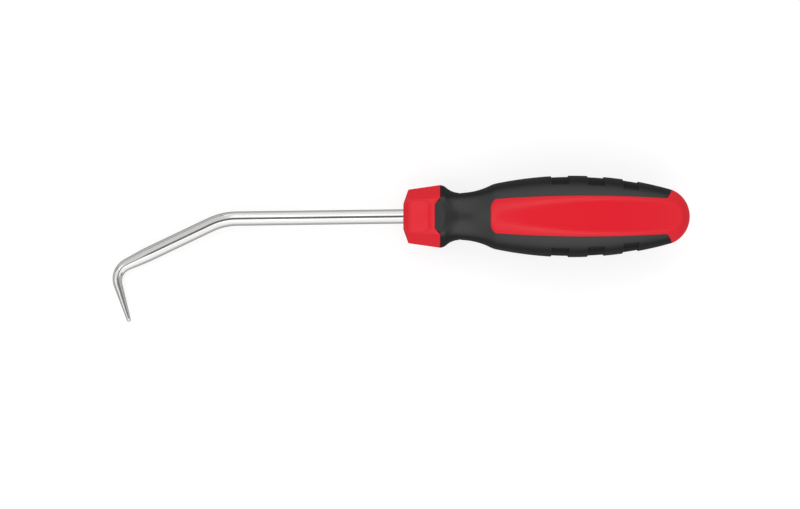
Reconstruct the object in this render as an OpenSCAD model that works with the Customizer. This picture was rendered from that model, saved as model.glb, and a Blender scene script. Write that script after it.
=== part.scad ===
// O-ring pick: a bent, tapered steel shaft moulded into a two-shot handle.
// The tool is drawn along X, nose face at x = 0, hook towards -X and its tip towards -Y.
// It is then laid on a flat surface, resting on the hook and on the flat of its lower panel.

/* [Shaft] */
// Diameter of the steel rod
shaft_d = 6.35; // [5:0.05:8]
// Nose face to the corner of the first bend
shaft_straight = 79.4; // [60:0.1:110]
// Lean of the shaft away from the handle's axis, in degrees
shaft_lean = 0.75; // [0:0.05:2]
// Length of the rod held inside the handle
shaft_socket = 62; // [40:1:80]
// Turn of the first bend, in degrees
arm_turn = 24.7; // [10:0.1:40]
// Radius of the first bend at the rod's centre line
arm_bend_r = 28; // [15:0.5:40]
// Corner to corner length of the slanting arm
arm_l = 53.2; // [45:0.1:80]
// Turn of the hook, in degrees
hook_turn = 81.7; // [65:0.1:90]
// Radius of the hook's bend at the rod's centre line
hook_bend_r = 7.6; // [6:0.1:10]
// Corner of the hook to the end of the tip
tip_l = 23.5; // [16:0.1:30]
// Diameter of the rounded tip
tip_d = 1.75; // [1:0.05:3]
// Length of the ground taper, along the bent rod
taper_l = 37; // [30:0.5:48]
// Length of the pressed wings that key the rod in the handle
wing_l = 12; // [8:0.5:18]
// Width across the pressed wings
wing_w = 10; // [8:0.1:13]
// Thickness of the pressed wings
wing_t = 2.6; // [1.6:0.1:4]

/* [Nose] */
// Length of the hexagonal nose
nose_l = 16.1; // [12:0.1:22]
// Depth across the front and back flats at the rear of the nose
nose_depth = 22.4; // [20:0.1:26]
// Width across the slanting flats at the rear of the nose
nose_side = 25; // [23:0.1:28]
// Width across the flats of the front face
nose_face = 10; // [8:0.1:13]
// Length of the front chamfer
nose_chamfer = 1.9; // [1:0.1:4]
// Taper of the nose towards its front, in degrees
nose_taper = 9.6; // [3:0.1:14]
// Front chamfer to the raised pad on the front and back flats
pad_gap = 1.2; // [0.2:0.1:1.5]
// Length of the raised pad
pad_l = 7.9; // [5:0.1:9]
// Width of the raised pad
pad_w = 13.2; // [8:0.1:14]
// Height of the raised pad at its middle
pad_h = 0.5; // [0.2:0.05:1]
// Radius of the pad's crown, side to side
pad_crown_r = 45; // [30:1:90]

/* [Grip] */
// Diameter of the flange behind the nose
flange_d = 27.6; // [25:0.1:31]
// Radius of the flange's rounded crest
flange_round = 4; // [2.5:0.1:6]
// Nose to the narrowest point of the neck
neck_gap = 8.7; // [7.5:0.1:12]
// Diameter of the neck
neck_d = 20.8; // [18:0.1:23]
// Neck to the shoulder
shoulder_gap = 14.5; // [11:0.1:20]
// Diameter at the shoulder
shoulder_d = 28.4; // [26:0.1:31]
// Shoulder to the crest of the belly
belly_gap = 34.7; // [28:0.1:44]
// Diameter of the belly
belly_d = 35.9; // [33:0.1:42]
// Crest of the belly to the butt end
butt_gap = 52; // [44:0.1:62]
// Diameter of the domed butt
butt_d = 25.2; // [20:0.1:28]
// Thickness of the soft sleeve over the core
sleeve_t = 2.5; // [1.5:0.1:3.2]
// Length of the sleeve's tongues over the front and back flats of the nose
tongue_l = 2.4; // [1.5:0.1:4]
// Width of the tongues
tongue_w = 14.6; // [10:0.1:15]
// Depth to which the tongues are let into the nose
tongue_t = 1.6; // [0.8:0.1:2.4]

/* [Tread] */
// Number of tread grooves above and below
groove_count = 3; // [1:1:3]
// First groove's front edge, ahead of the belly's crest
groove_lead = 9.2; // [5:0.1:14]
// Spacing of the grooves
groove_pitch = 16; // [12:0.1:18]
// Length of each groove along the handle
groove_l = 7.7; // [4:0.1:9]
// Depth of each groove
groove_depth = 0.55; // [0.2:0.05:1]
// Angle that the first groove spans around the handle, in degrees
groove_span = 79; // [50:1:90]
// How much further each next groove spans, in degrees
groove_growth = 5; // [0:0.5:8]

/* [Panel] */
// Reach of the panel's front edge ahead of the shoulder
panel_lead = 1.2; // [0:0.1:4]
// Widest width of the panel
panel_w = 17.8; // [14:0.1:21]
// Widest point of the panel, behind the belly's crest
panel_crest = 6; // [0:0.5:12]
// Bow radius of the panel's long edges
panel_bow_r = 540; // [400:10:900]
// Length of the panel's blunt front corners
panel_corner_l = 2.4; // [1:0.1:4]
// Width of the panel's blunt front corners
panel_corner_w = 3.4; // [1.5:0.1:5]
// Length of the all-round butt cap behind the sleeve
cap_l = 10.3; // [8:0.1:16]
// Slant of the sleeve's rear edges, in degrees
cap_slant = 30; // [0:1:40]
// Radius of the sleeve's rear corners
cap_corner_r = 1.2; // [0.4:0.1:2.5]
// Depth that the panel's flat takes off the belly
flat_cut = 1.15; // [0.6:0.05:2]
// Deepest point of the flat, ahead of the belly's crest
flat_lead = 6; // [2:0.5:10]
// Bow radius of the flat, along the handle
flat_bow_r = 190; // [165:1:240]

/* [Hidden] */
$fn = 64;
// Larger than any part of the tool, for cutting shapes
reach = 60;
// Sides of the tapered end
taper_sides = 24;
// The rods run this far into the bends, which differ from them by a hair's radius
rod_overlap = 0.3;
hair = 0.01;

shaft_r = shaft_d / 2;
tip_r = tip_d / 2;
flange_r = flange_d / 2;
neck_r = neck_d / 2;
shoulder_r = shoulder_d / 2;
belly_r = belly_d / 2;
butt_r = butt_d / 2;

neck_x = nose_l + neck_gap;
shoulder_x = neck_x + shoulder_gap;
belly_x = shoulder_x + belly_gap;
handle_l = belly_x + butt_gap;
sleeve_end_x = handle_l - cap_l;

// Directions and corners of the bent shaft, in the plane of the bends
arm_angle = 180 + shaft_lean + arm_turn;
tip_angle = arm_angle + hook_turn;
straight_dir = heading(180 + shaft_lean);
arm_dir = heading(arm_angle);
tip_dir = heading(tip_angle);
arm_corner = straight_dir * shaft_straight;
hook_corner = arm_corner + arm_dir * arm_l;
tip_end = hook_corner + tip_dir * tip_l;
arm_tangent = arm_bend_r * tan(arm_turn / 2);
hook_tangent = hook_bend_r * tan(hook_turn / 2);
hook_start = hook_corner - arm_dir * hook_tangent;
hook_centre = hook_start + across(arm_angle) * hook_bend_r;
hook_arc_l = hook_bend_r * hook_turn * PI / 180;
taper_on_arm = taper_l - hook_arc_l - (tip_l - hook_tangent);

// The hook's outermost point, where the rod runs straight across
outer_turn = min(hook_turn, 270 - arm_angle);
outer_r = taper_r(taper_on_arm + hook_arc_l * outer_turn / hook_turn);
outer_x = taper_point(taper_on_arm + hook_arc_l * outer_turn / hook_turn)[0];

// Lie of the tool: the line under both the hook and the bowed flat of the lower panel
flat_x = belly_x - flat_lead;
flat_rise = flat_bow_r - (belly_r - flat_cut);
lie_span = flat_x - outer_x;
lie_angle = asin((flat_bow_r - outer_r) / norm([lie_span, flat_rise])) - atan2(flat_rise, lie_span);
lie_lift = outer_r - outer_x * sin(lie_angle);
butt_x = (handle_l - butt_r) * cos(lie_angle) + butt_r;
lie_mid_x = (butt_x + outer_x * cos(lie_angle) - outer_r) / 2;
lie_mid_y = (belly_r + tip_end[1]) / 2;

function heading(angle) = [cos(angle), sin(angle)];
function across(angle) = [-sin(angle), cos(angle)];

// Points on an arc about a centre, from one angle to another
function arc(centre, r, from, to, steps) =
    [for (i = [0:steps]) centre + r * heading(from + (to - from) * i / steps)];

// Radius of an arc that starts level, and climbs by rise over a run
function climb_r(run, rise) = (run * run + rise * rise) / (2 * rise);

// Outline of the handle behind the nose, as [x, radius], drawn in from the skin by inset
function flange_outline(inset) =
    let (low = neck_r - flange_r + flange_round)
    let (dip_r = (low * low + neck_gap * neck_gap - flange_round * flange_round)
        / (2 * (flange_round - low)))
    let (crest = [nose_l, flange_r - flange_round - inset])
    let (dip = [neck_x, neck_r + dip_r - inset])
    let (meet = atan2(dip[1] - crest[1], neck_gap))
    concat(arc(crest, flange_round, 90, meet, 6), arc(dip, dip_r, 180 + meet, 270, 8));

function neck_outline(inset) =
    let (climb = climb_r(shoulder_gap, shoulder_r - neck_r))
    arc([neck_x, neck_r + climb - inset], climb, 270, 270 + asin(shoulder_gap / climb), 10);

function belly_outline(inset) =
    let (bow = climb_r(belly_gap, belly_r - shoulder_r))
    arc([belly_x, belly_r - bow - inset], bow, 90 + asin(belly_gap / bow), 90, 10);

function butt_outline(inset) =
    let (crest = belly_r - inset)
    let (dome = butt_r - inset)
    let (run = butt_gap - butt_r)
    let (bow = (crest * crest - dome * dome + run * run) / (2 * (crest - dome)))
    let (meet = acos(run / (bow - dome)))
    concat(
        arc([belly_x, crest - bow], bow, 90, meet, 12),
        arc([belly_x + run, 0], dome, meet, 0, 10));

// Share of a blunt corner's size, which lies between a round and a straight cut
function blunt(part) = pow(part, 1.4);

// Half the depth of the nose's flats at x, for a flat of the given half-width at the nose's rear
function flat_at(x, rear) = rear - (nose_l - x) * tan(nose_taper);

// Radius, place and direction along the tapered end, by length from where the taper starts
function taper_r(s) = shaft_r + (tip_r - shaft_r) * max(0, s) / taper_l;
function taper_turn(s) = hook_turn * max(0, min(1, (s - taper_on_arm) / hook_arc_l));
function taper_point(s) =
    let (on_arm = min(0, s - taper_on_arm))
    let (on_tip = max(0, s - taper_on_arm - hook_arc_l))
    let (angle = arm_angle + taper_turn(s))
    hook_centre - across(angle) * hook_bend_r + arm_dir * on_arm + tip_dir * on_tip;

// Solid of revolution about X, from an outline of [x, radius] points
module turned(outline)
    rotate([0, 90, 0])
        rotate_extrude()
            polygon([for (p = outline) [p[1], p[0]]]);

// A flat outline in the plane of the photograph, carried right through the tool
module through(outline)
    linear_extrude(2 * reach, center = true)
        polygon(outline);

// Lays the finished tool on the surface, centred over the origin
module laid_down()
    translate([-lie_mid_x, -lie_mid_y, lie_lift])
        rotate([0, -lie_angle, 0])
            children();

// Straight rod from one point to another in the plane of the bends
module rod(from, to)
    translate([from[0], from[1], 0])
        rotate([0, 0, atan2(to[1] - from[1], to[0] - from[0])])
            rotate([0, 90, 0])
                cylinder(r = shaft_r, h = norm(to - from));

// First bend, a piece of a ring
module arm_bend() {
    centre = arm_corner - straight_dir * arm_tangent + across(180 + shaft_lean) * arm_bend_r;
    translate([centre[0], centre[1], 0])
        rotate([0, 0, 90 + shaft_lean])
            rotate_extrude(angle = arm_turn, $fn = 160)
                translate([arm_bend_r, 0])
                    circle(r = shaft_r + hair);
}

// Rod inside the handle, keyed by two pressed wings; it also shapes the socket
module shaft_root() {
    root = -straight_dir * shaft_socket;
    rod(root, straight_dir * 2 * nose_chamfer);
    translate([root[0], root[1], 0])
        rotate([0, 0, 180 + shaft_lean])
            translate([wing_l, 0, 0])
                cube([wing_l, wing_w, wing_t], center = true);
}

// Tapered hook and tip, swept along the bent centre line
module tapered_hook() {
    round_steps = 4;
    tip_s = taper_l - tip_r;
    stations = concat(
        [-rod_overlap, taper_on_arm / 2],
        [for (i = [0:12]) taper_on_arm + hook_arc_l * i / 12],
        [for (i = [1:3]) taper_on_arm + hook_arc_l + (tip_s - taper_on_arm - hook_arc_l) * i / 3]);
    rings = concat(
        [for (s = stations) [s, taper_r(s) - hair]],
        [for (i = [1:round_steps - 1])
            [tip_s + tip_r * sin(90 * i / round_steps), tip_r * cos(90 * i / round_steps)]]);
    points = [for (ring = rings) for (i = [0:taper_sides - 1])
        let (centre = taper_point(ring[0]))
        let (side = across(arm_angle + taper_turn(ring[0])) * ring[1] * cos(360 * i / taper_sides))
        [centre[0] + side[0], centre[1] + side[1], ring[1] * sin(360 * i / taper_sides)]];
    last = (len(rings) - 1) * taper_sides;
    walls = [for (k = [0:len(rings) - 2]) for (i = [0:taper_sides - 1])
        let (j = (i + 1) % taper_sides)
        [k * taper_sides + i, (k + 1) * taper_sides + i, (k + 1) * taper_sides + j, k * taper_sides + j]];
    polyhedron(
        points,
        concat(
            [[for (i = [0:taper_sides - 1]) i]],
            walls,
            [[for (i = [taper_sides - 1:-1:0]) last + i]]));
}

module pick_shaft()
    color("silver")
        laid_down() {
            shaft_root();
            rod([0, 0], arm_corner - straight_dir * (arm_tangent - rod_overlap));
            arm_bend();
            rod(arm_corner + arm_dir * (arm_tangent - rod_overlap), hook_start - arm_dir * taper_on_arm);
            tapered_hook();
        }

// Hexagon of the nose, which runs on over the flange and ends at the neck
// One slope chamfers all six flats, so the wider slanting ones are chamfered further back
module hexagon() {
    face_half = nose_face / 2;
    slope = (flat_at(nose_chamfer, nose_depth / 2) - face_half) / nose_chamfer;
    module flats(rear)
        rotate([90, 0, 0])
            through(let (
                chamfer_x = (flat_at(0, rear) - face_half) / (slope - tan(nose_taper)),
                upper = [
                    [0, face_half],
                    [chamfer_x, flat_at(chamfer_x, rear)],
                    [neck_x, flat_at(neck_x, rear)],
                    [neck_x, reach],
                    [2 * handle_l, reach]])
                concat(upper, [for (i = [len(upper) - 1:-1:0]) [upper[i][0], -upper[i][1]]]));
    intersection() {
        flats(nose_depth / 2);
        rotate([60, 0, 0]) flats(nose_side / 2);
        rotate([-60, 0, 0]) flats(nose_side / 2);
    }
}

// Outline of a tongue, with its front corners cut off
module tongue_outline() {
    half = tongue_w / 2;
    front = nose_l - tongue_l;
    front_half = half - 0.8 * tongue_l;
    through([[nose_l, -half], [front, -front_half], [front, front_half], [nose_l, half]]);
}

// Tongues on the front and back flats, which fill recesses of the same shape
module tongues() {
    floor_r = nose_depth / 2 - tongue_t;
    front = nose_l - 2 * tongue_l;
    difference() {
        tongue_outline();
        rotate([90, 0, 0])
            through([
                [front, -flat_at(front, floor_r)],
                [nose_l + tongue_l, -flat_at(nose_l + tongue_l, floor_r)],
                [nose_l + tongue_l, flat_at(nose_l + tongue_l, floor_r)],
                [front, flat_at(front, floor_r)]]);
    }
}

// Nose before the tongues are let in: a tapered hexagon with its corners turned off
module nose_blank()
    intersection() {
        hexagon();
        turned([[0, 0], [0, flat_at(0, flange_r)], [nose_l, flange_r], [nose_l, 0]]);
    }

// Raised pads on the front and back flats, crowned from side to side
module nose_pads() {
    front = nose_chamfer + pad_gap;
    rear = front + pad_l;
    half = pad_w / 2;
    cut_x = rear - pad_l / 3;
    cut_y = half - pad_l / 7;
    crown_top = flat_at(front, nose_depth / 2) + pad_h;
    for (side = [0, 180])
        rotate([side, 0, 0])
            intersection() {
                translate([0, 0, reach])
                    through([[front, -half], [cut_x, -half], [rear, -cut_y],
                        [rear, cut_y], [cut_x, half], [front, half]]);
                translate([front, 0, crown_top])
                    rotate([0, 90 - nose_taper, 0])
                        translate([pad_crown_r, 0, 0])
                            cylinder(r = pad_crown_r, h = 4 * pad_l, center = true, $fn = 160);
            }
}

// The part of the handle that shows hard plastic: both panels and the whole butt
module panel_outline() {
    half = panel_w / 2;
    front = shoulder_x - panel_lead;
    crest = belly_x + panel_crest;
    bow_y = half - panel_bow_r;
    rise = asin((crest - front - panel_corner_l) / panel_bow_r);
    fall = asin((sleeve_end_x - crest) / panel_bow_r);
    edge = arc([crest, bow_y], panel_bow_r, 90 + rise, 90 - fall, 14);
    edge_end = edge[len(edge) - 1];
    front_corner = [for (i = [0:5])
        edge[0] - [panel_corner_l * blunt(cos(15 * i)), panel_corner_w * (1 - blunt(sin(15 * i)))]];
    rear_corner = arc(edge_end + across(-fall) * cap_corner_r, cap_corner_r, -90 - fall, -cap_slant, 5);
    slant_start = rear_corner[len(rear_corner) - 1];
    upper = concat(
        front_corner,
        edge,
        rear_corner,
        [[slant_start[0] + (reach - slant_start[1]) * tan(cap_slant), reach],
         [2 * handle_l, reach]]);
    through(concat(upper, [for (i = [len(upper) - 1:-1:0]) [upper[i][0], -upper[i][1]]]));
}

// Bowed flats of the front and back panels
module panel_flats()
    intersection_for (side = [-1, 1])
        translate([flat_x, 0, side * flat_rise])
            rotate([90, 0, 0])
                cylinder(r = flat_bow_r, h = 2 * reach, center = true, $fn = 360);

// Core under the sleeve, a straight neck and the grip's form, smaller by the sleeve's thickness
module sleeve_core()
    turned(concat(
        [[nose_l - tongue_l, 0], [nose_l - tongue_l, neck_r - sleeve_t]],
        neck_outline(sleeve_t),
        belly_outline(sleeve_t),
        butt_outline(sleeve_t)));

// Outer skin of the grip, from the flange to the butt
module grip_skin()
    turned(concat(
        [[nose_l, 0]],
        flange_outline(0),
        neck_outline(0),
        belly_outline(0),
        butt_outline(0)));

module handle_core()
    color("crimson")
        laid_down()
            difference() {
                union() {
                    nose_blank();
                    nose_pads();
                    sleeve_core();
                    intersection() {
                        grip_skin();
                        panel_outline();
                        panel_flats();
                    }
                }
                tongues();
                shaft_root();
            }

// One tread groove above and one below, cut to an even depth under the skin
module groove(front, span) {
    rear = front + groove_l;
    skin = concat(belly_outline(groove_depth), butt_outline(groove_depth));
    floor_points = [for (p = skin) if (p[0] > front && p[0] < rear) p];
    outline = concat(
        [[front, reach], [front, skin_r(front) - groove_depth]],
        floor_points,
        [[rear, skin_r(rear) - groove_depth], [rear, reach]]);
    for (side = [90, 270])
        rotate([0, 90, 0])
            rotate_extrude(angle = span, start = side - span / 2)
                polygon([for (p = outline) [p[1], p[0]]]);
}

// Radius of the skin at x, along the belly and its fall to the butt
function skin_r(x) =
    let (skin = concat(belly_outline(0), butt_outline(0)))
    lookup(x, skin);

module grip_sleeve()
    color("dimgray")
        laid_down() {
            difference() {
                intersection() {
                    grip_skin();
                    hexagon();
                }
                panel_outline();
                sleeve_core();
                for (i = [0:groove_count - 1])
                    groove(belly_x - groove_lead + i * groove_pitch, groove_span + i * groove_growth);
            }
            intersection() {
                tongues();
                nose_blank();
            }
        }

pick_shaft();
handle_core();
grip_sleeve();
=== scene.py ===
"""Bent hook pick: the visible pieces, their finishes and the studio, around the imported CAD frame."""
import math

import bmesh
import bpy
from bmesh.types import BMEdge, BMFace, BMVert
from bpy.props import FloatProperty, FloatVectorProperty, IntProperty, PointerProperty
from mathutils import Matrix, Vector


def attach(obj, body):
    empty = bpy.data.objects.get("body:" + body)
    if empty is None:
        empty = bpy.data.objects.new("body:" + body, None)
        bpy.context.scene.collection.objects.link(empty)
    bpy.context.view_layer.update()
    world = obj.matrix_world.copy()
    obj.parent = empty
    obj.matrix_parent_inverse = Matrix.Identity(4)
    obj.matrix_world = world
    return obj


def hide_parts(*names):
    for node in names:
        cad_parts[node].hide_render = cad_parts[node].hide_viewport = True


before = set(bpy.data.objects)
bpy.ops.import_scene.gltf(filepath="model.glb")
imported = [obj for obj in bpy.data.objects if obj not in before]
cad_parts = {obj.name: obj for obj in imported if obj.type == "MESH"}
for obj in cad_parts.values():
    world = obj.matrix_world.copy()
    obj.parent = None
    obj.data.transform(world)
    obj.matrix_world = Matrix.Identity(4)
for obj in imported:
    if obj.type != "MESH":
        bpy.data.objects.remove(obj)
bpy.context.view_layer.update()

bl_info = {
    "name": "Bent hook pick",
    "version": (1, 0, 0),
    "blender": (4, 5, 0),
    "location": "View3D > Sidebar > Pick",
    "description": "Builds the pieces of a bent hook pick around its CAD frame",
    "category": "Object",
}

MM = 0.001
WELD = 0.002 * MM
RIGHT_ANGLE = math.pi / 2
TWELFTH_TURN = math.pi / 6
SIXTH_TURN = math.pi / 3
FLAT_ANGLE = math.radians(10)
SHARP_ANGLE = math.radians(55)
# Roughness of grained plastic at a low angle
MATT = 0.8


def length(name, description, millimetres):
    """A length property, given in millimetres and kept in metres."""
    return FloatProperty(
        name=name, description=description, default=millimetres * MM, unit="LENGTH", precision=5
    )


def angle(name, description, degrees):
    """An angle property, given in degrees and kept in radians."""
    return FloatProperty(
        name=name, description=description, default=math.radians(degrees), subtype="ANGLE"
    )


def colour(name, description, red, green, blue):
    """A linear colour property."""
    return FloatVectorProperty(
        name=name,
        description=description,
        default=(red, green, blue),
        size=3,
        min=0.0,
        max=1.0,
        subtype="COLOR",
    )


def share(name, description, default):
    """A plain number from nought to one."""
    return FloatProperty(
        name=name, description=description, default=default, min=0.0, max=1.0, subtype="FACTOR"
    )


def level(name, description, default):
    """A brightness, or the ratio of two, that is nought or more."""
    return FloatProperty(name=name, description=description, default=default, min=0.0)


class ShaftSizes(bpy.types.PropertyGroup):
    """Sizes of the bent steel rod, in the plane of its bends."""

    diameter: length("Diameter", "Diameter of the rod", 6.35)
    straight: length("Straight", "Nose face to the corner of the first bend", 79.4)
    lean: angle("Lean", "Lean of the rod away from the handle's axis", 0.75)
    socket: length("Socket", "Length of the rod inside the handle", 62.0)
    arm_turn: angle("Arm turn", "Turn of the first bend", 24.7)
    arm_bend: length("Arm bend", "Radius of the first bend", 28.0)
    arm: length("Arm", "Corner to corner length of the slanting arm", 53.2)
    hook_turn: angle("Hook turn", "Turn of the hook", 81.7)
    hook_bend: length("Hook bend", "Radius of the hook", 7.6)
    tip: length("Tip", "Corner of the hook to the end of the tip", 23.5)
    tip_diameter: length("Tip diameter", "Diameter of the rounded tip", 1.75)
    taper: length("Taper", "Length of the ground taper along the bent rod", 37.0)
    wing_length: length("Wing length", "Length of the pressed wings in the handle", 12.0)
    wing_width: length("Wing width", "Width across the pressed wings", 10.0)
    wing_thickness: length("Wing thickness", "Thickness of the pressed wings", 2.6)


class HandleSizes(bpy.types.PropertyGroup):
    """Sizes of the handle, measured along its axis from the nose face."""

    nose: length("Nose", "Length of the hexagonal nose", 16.1)
    nose_depth: length("Nose depth", "Across the front and back flats at the rear of the nose", 22.4)
    nose_side: length("Nose side", "Across the slanting flats at the rear of the nose", 25.0)
    nose_face: length("Nose face", "Across the flats of the front face", 10.0)
    nose_chamfer: length("Nose chamfer", "Length of the front chamfer", 2.2)
    nose_taper: angle("Nose taper", "Taper of the nose's sides towards its front", 8.0)
    flat_taper: angle("Flat taper", "Taper of the nose's front and back flats", 11.5)
    pad_gap: length("Pad gap", "Front chamfer to the raised pad", 0.8)
    pad_length: length("Pad length", "Length of the raised pad", 7.9)
    pad_width: length("Pad width", "Width of the raised pad", 14.0)
    pad_height: length("Pad height", "Height of the pad at its middle", 1.0)
    pad_crown: length("Pad crown", "Radius of the pad's crown", 34.0)
    pad_slope: length("Pad slope", "Length of the slope behind the pad", 1.5)
    flange: length("Flange", "Diameter of the flange behind the nose", 27.6)
    flange_round: length("Flange round", "Radius of the flange's crest", 4.0)
    neck_gap: length("Neck gap", "Nose to the narrowest point of the neck", 8.7)
    neck: length("Neck", "Diameter of the neck", 20.8)
    shoulder_gap: length("Shoulder gap", "Neck to the shoulder", 14.5)
    shoulder: length("Shoulder", "Diameter at the shoulder", 28.4)
    belly_gap: length("Belly gap", "Shoulder to the crest of the belly", 34.7)
    belly: length("Belly", "Diameter of the belly", 35.9)
    butt_gap: length("Butt gap", "Crest of the belly to the butt end", 52.0)
    butt: length("Butt", "Diameter of the domed butt", 25.2)
    sleeve: length("Sleeve", "Thickness of the soft sleeve", 2.5)
    tongue: length("Tongue", "Length of the sleeve's tongues over the nose", 2.4)
    tongue_width: length("Tongue width", "Width of the tongues", 14.6)
    groove_count: IntProperty(name="Grooves", description="Tread grooves on each arm", default=3)
    groove_lead: length("Groove lead", "First groove's front edge ahead of the belly's crest", 9.2)
    groove_land: length("Groove land", "Length of the land between two grooves", 8.3)
    groove_length: length("Groove length", "Length of the first groove", 7.7)
    groove_fade: length("Groove fade", "How much shorter each next groove is", 0.45)
    groove_depth: length("Groove depth", "Depth of each groove", 0.55)
    groove_span: angle("Groove span", "Angle that the first groove spans around the handle", 76.0)
    groove_growth: angle("Groove growth", "How much further each next groove spans", 5.0)
    groove_lip: length("Groove lip", "Rounding of the grooves' edges", 0.12)
    panel_lead: length("Panel lead", "Panel's front edge ahead of the shoulder", 1.2)
    panel_width: length("Panel width", "Widest width of the panel", 17.8)
    panel_crest: length("Panel crest", "Widest point of the panel behind the belly's crest", 6.0)
    panel_bow: length("Panel bow", "Bow radius of the panel's long edges", 540.0)
    panel_proud: length("Panel lift", "How far the panel stands out from the sleeve", 0.1)
    corner_length: length("Corner length", "Length of the panel's blunt front corners", 2.4)
    corner_width: length("Corner width", "Width of the panel's blunt front corners", 3.4)
    cap: length("Cap", "Length of the all-round butt behind the sleeve", 11.6)
    cap_slant: angle("Cap slant", "Slant of the sleeve's rear edges", 30.0)
    cap_corner: length("Cap corner", "Radius of the sleeve's rear corners", 2.0)
    flat_cut: length("Flat cut", "Depth that the panel's flat takes off the belly", 1.15)
    flat_lead: length("Flat lead", "Deepest point of the flat ahead of the belly's crest", 6.0)
    flat_bow: length("Flat bow", "Bow radius of the flat along the handle", 190.0)
    core_rim: length("Core rim", "Rounding of the hard plastic's edges", 0.35)
    sleeve_rim: length("Sleeve rim", "Rounding of the soft sleeve's edges", 0.15)
    nose_rim: length("Nose rim", "Rounding of the nose's edges", 0.4)
    notch_lip: length("Notch lip", "Rounding of the nose's edge around the tongues", 0.32)


class LieSizes(bpy.types.PropertyGroup):
    """How the tool lies on the floor, on its hook and on the flat of its lower panel."""

    tilt: angle("Tilt", "Tilt of the handle's axis", 4.51832)
    mid_x: length("Middle along", "Middle of the tool along its axis", -0.930)
    mid_y: length("Middle across", "Middle of the tool across its axis", -14.203)
    lift: length("Lift", "Height of the nose face's centre", 11.981)


class FinishSettings(bpy.types.PropertyGroup):
    """Colours and gloss of the three materials."""

    steel: colour("Steel", "Colour of the bright rod, seen square on", 0.61, 0.605, 0.595)
    # The steel edge colour tints the metal's edge reflections, and the rod's base colour is also mixed
    # towards it at low angles, which paints shade on the rod's edges
    steel_edge_tint_and_painted_shade: colour("Steel edge", "Colour of the bright rod, seen at a low angle", 0.42, 0.42, 0.415)
    steel_roughness: share("Steel roughness", "Roughness of the bright rod", 0.11)
    ground_roughness: share("Ground roughness", "Further roughness of the ground hook", 0.1)
    red: colour("Red", "Colour of the hard plastic", 0.78, 0.01, 0.023)
    red_roughness: share("Red roughness", "Roughness of the hard plastic", 0.29)
    red_specular: share("Red reflection", "Strength of the hard plastic's reflections", 0.35)
    black: colour("Black", "Colour of the soft grip", 0.0125, 0.0127, 0.0134)
    black_coat: share("Black coat", "Strength of the soft grip's satin coat, seen square on", 0.72)
    coat_roughness: share("Coat roughness", "Roughness of the soft grip's satin coat", 0.43)
    # Painted shade: the grooves' floors keep only this share of the grip's colour
    groove_shade: share("Groove shade", "How much of the grip's colour the grooves' floors keep", 0.4)
    black_roughness: share("Black roughness", "Roughness of the soft grip", 0.31)
    black_specular: share("Black reflection", "Strength of the soft grip's reflections", 0.13)


class StageSettings(bpy.types.PropertyGroup):
    """Floor, light and camera."""

    floor: colour("Floor", "Colour of the floor", 0.35, 0.35, 0.35)
    floor_lift: share("Floor lift", "How much whiter the floor shows than it is lit", 0.72)
    world: level("World", "Brightness of the even light", 0.2)
    upper_level: level("Upper lamps", "Brightness of the upper lamps", 1.1)
    side_level: level("Side lamps", "Brightness of the side lamps", 1.1)
    near_share: level("Near side", "Near lamps against far ones", 1.12)
    hook_level: level("Hook lamp", "Brightness of the hook end's lamp", 1.0)
    top_level: level("Top lamp", "Brightness of the hook's upper lamp", 0.3)
    front_level: level("Front lamps", "Brightness of the two lamps ahead of the handle", 0.75)
    butt_level: level("Butt lamp", "Brightness of the butt end's lamp", 0.65)
    lens: FloatProperty(name="Lens", description="Focal length, in millimetres", default=150.0)
    view_width: length("View width", "Width of the view at the tool", 352.0)
    aim_x: length("Aim along", "Point of the tool's plane at the middle of the view", -1.45)
    aim_y: length("Aim across", "Point of the tool's plane at the middle of the view", -16.75)


def softer_min(a, b, soft):
    """The lesser of two values, with the corner between them rounded."""
    overlap = max(soft - abs(a - b), 0.0) / soft
    return min(a, b) - overlap * overlap * soft / 4


def climb_radius(run, rise):
    """Radius of an arc that starts level and climbs by rise over a run."""
    return (run * run + rise * rise) / (2 * rise)


def even_steps(start, end, count):
    """Points from start up to, and not counting, end."""
    return [start + (end - start) * i / count for i in range(count)]


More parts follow.
